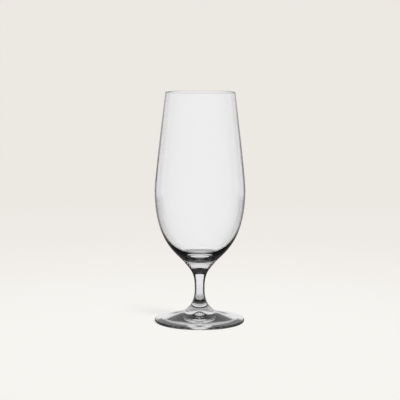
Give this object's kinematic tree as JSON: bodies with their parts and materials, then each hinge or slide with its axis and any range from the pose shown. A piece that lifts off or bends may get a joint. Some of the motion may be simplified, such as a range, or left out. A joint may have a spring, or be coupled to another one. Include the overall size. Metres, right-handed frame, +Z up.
{
  "type": "pilsner glass",
  "caption": "Stemmed pilsner glass: a tall tapering bowl with a low belly and a thick bottom, on a short waisted stem and a round foot.",
  "frame": {"origin": "centre of the foot's underside, on the plane that the glass stands on", "axes": "+Z up along the axis of revolution, from the foot to the lip; the glass is round, so X and Y are free"},
  "size_m": [0.0741, 0.074, 0.1891],
  "materials": {
    "bowl_glass": "clear, blown and fire-polished",
    "stem_glass": "clear, drawn and fire-polished",
    "foot_glass": "clear, pressed and fire-polished"
  },
  "bodies": {
    "root": {"bowl": "bowl_glass", "stem": "stem_glass", "foot": "foot_glass"}
  },
  "joints": []
}
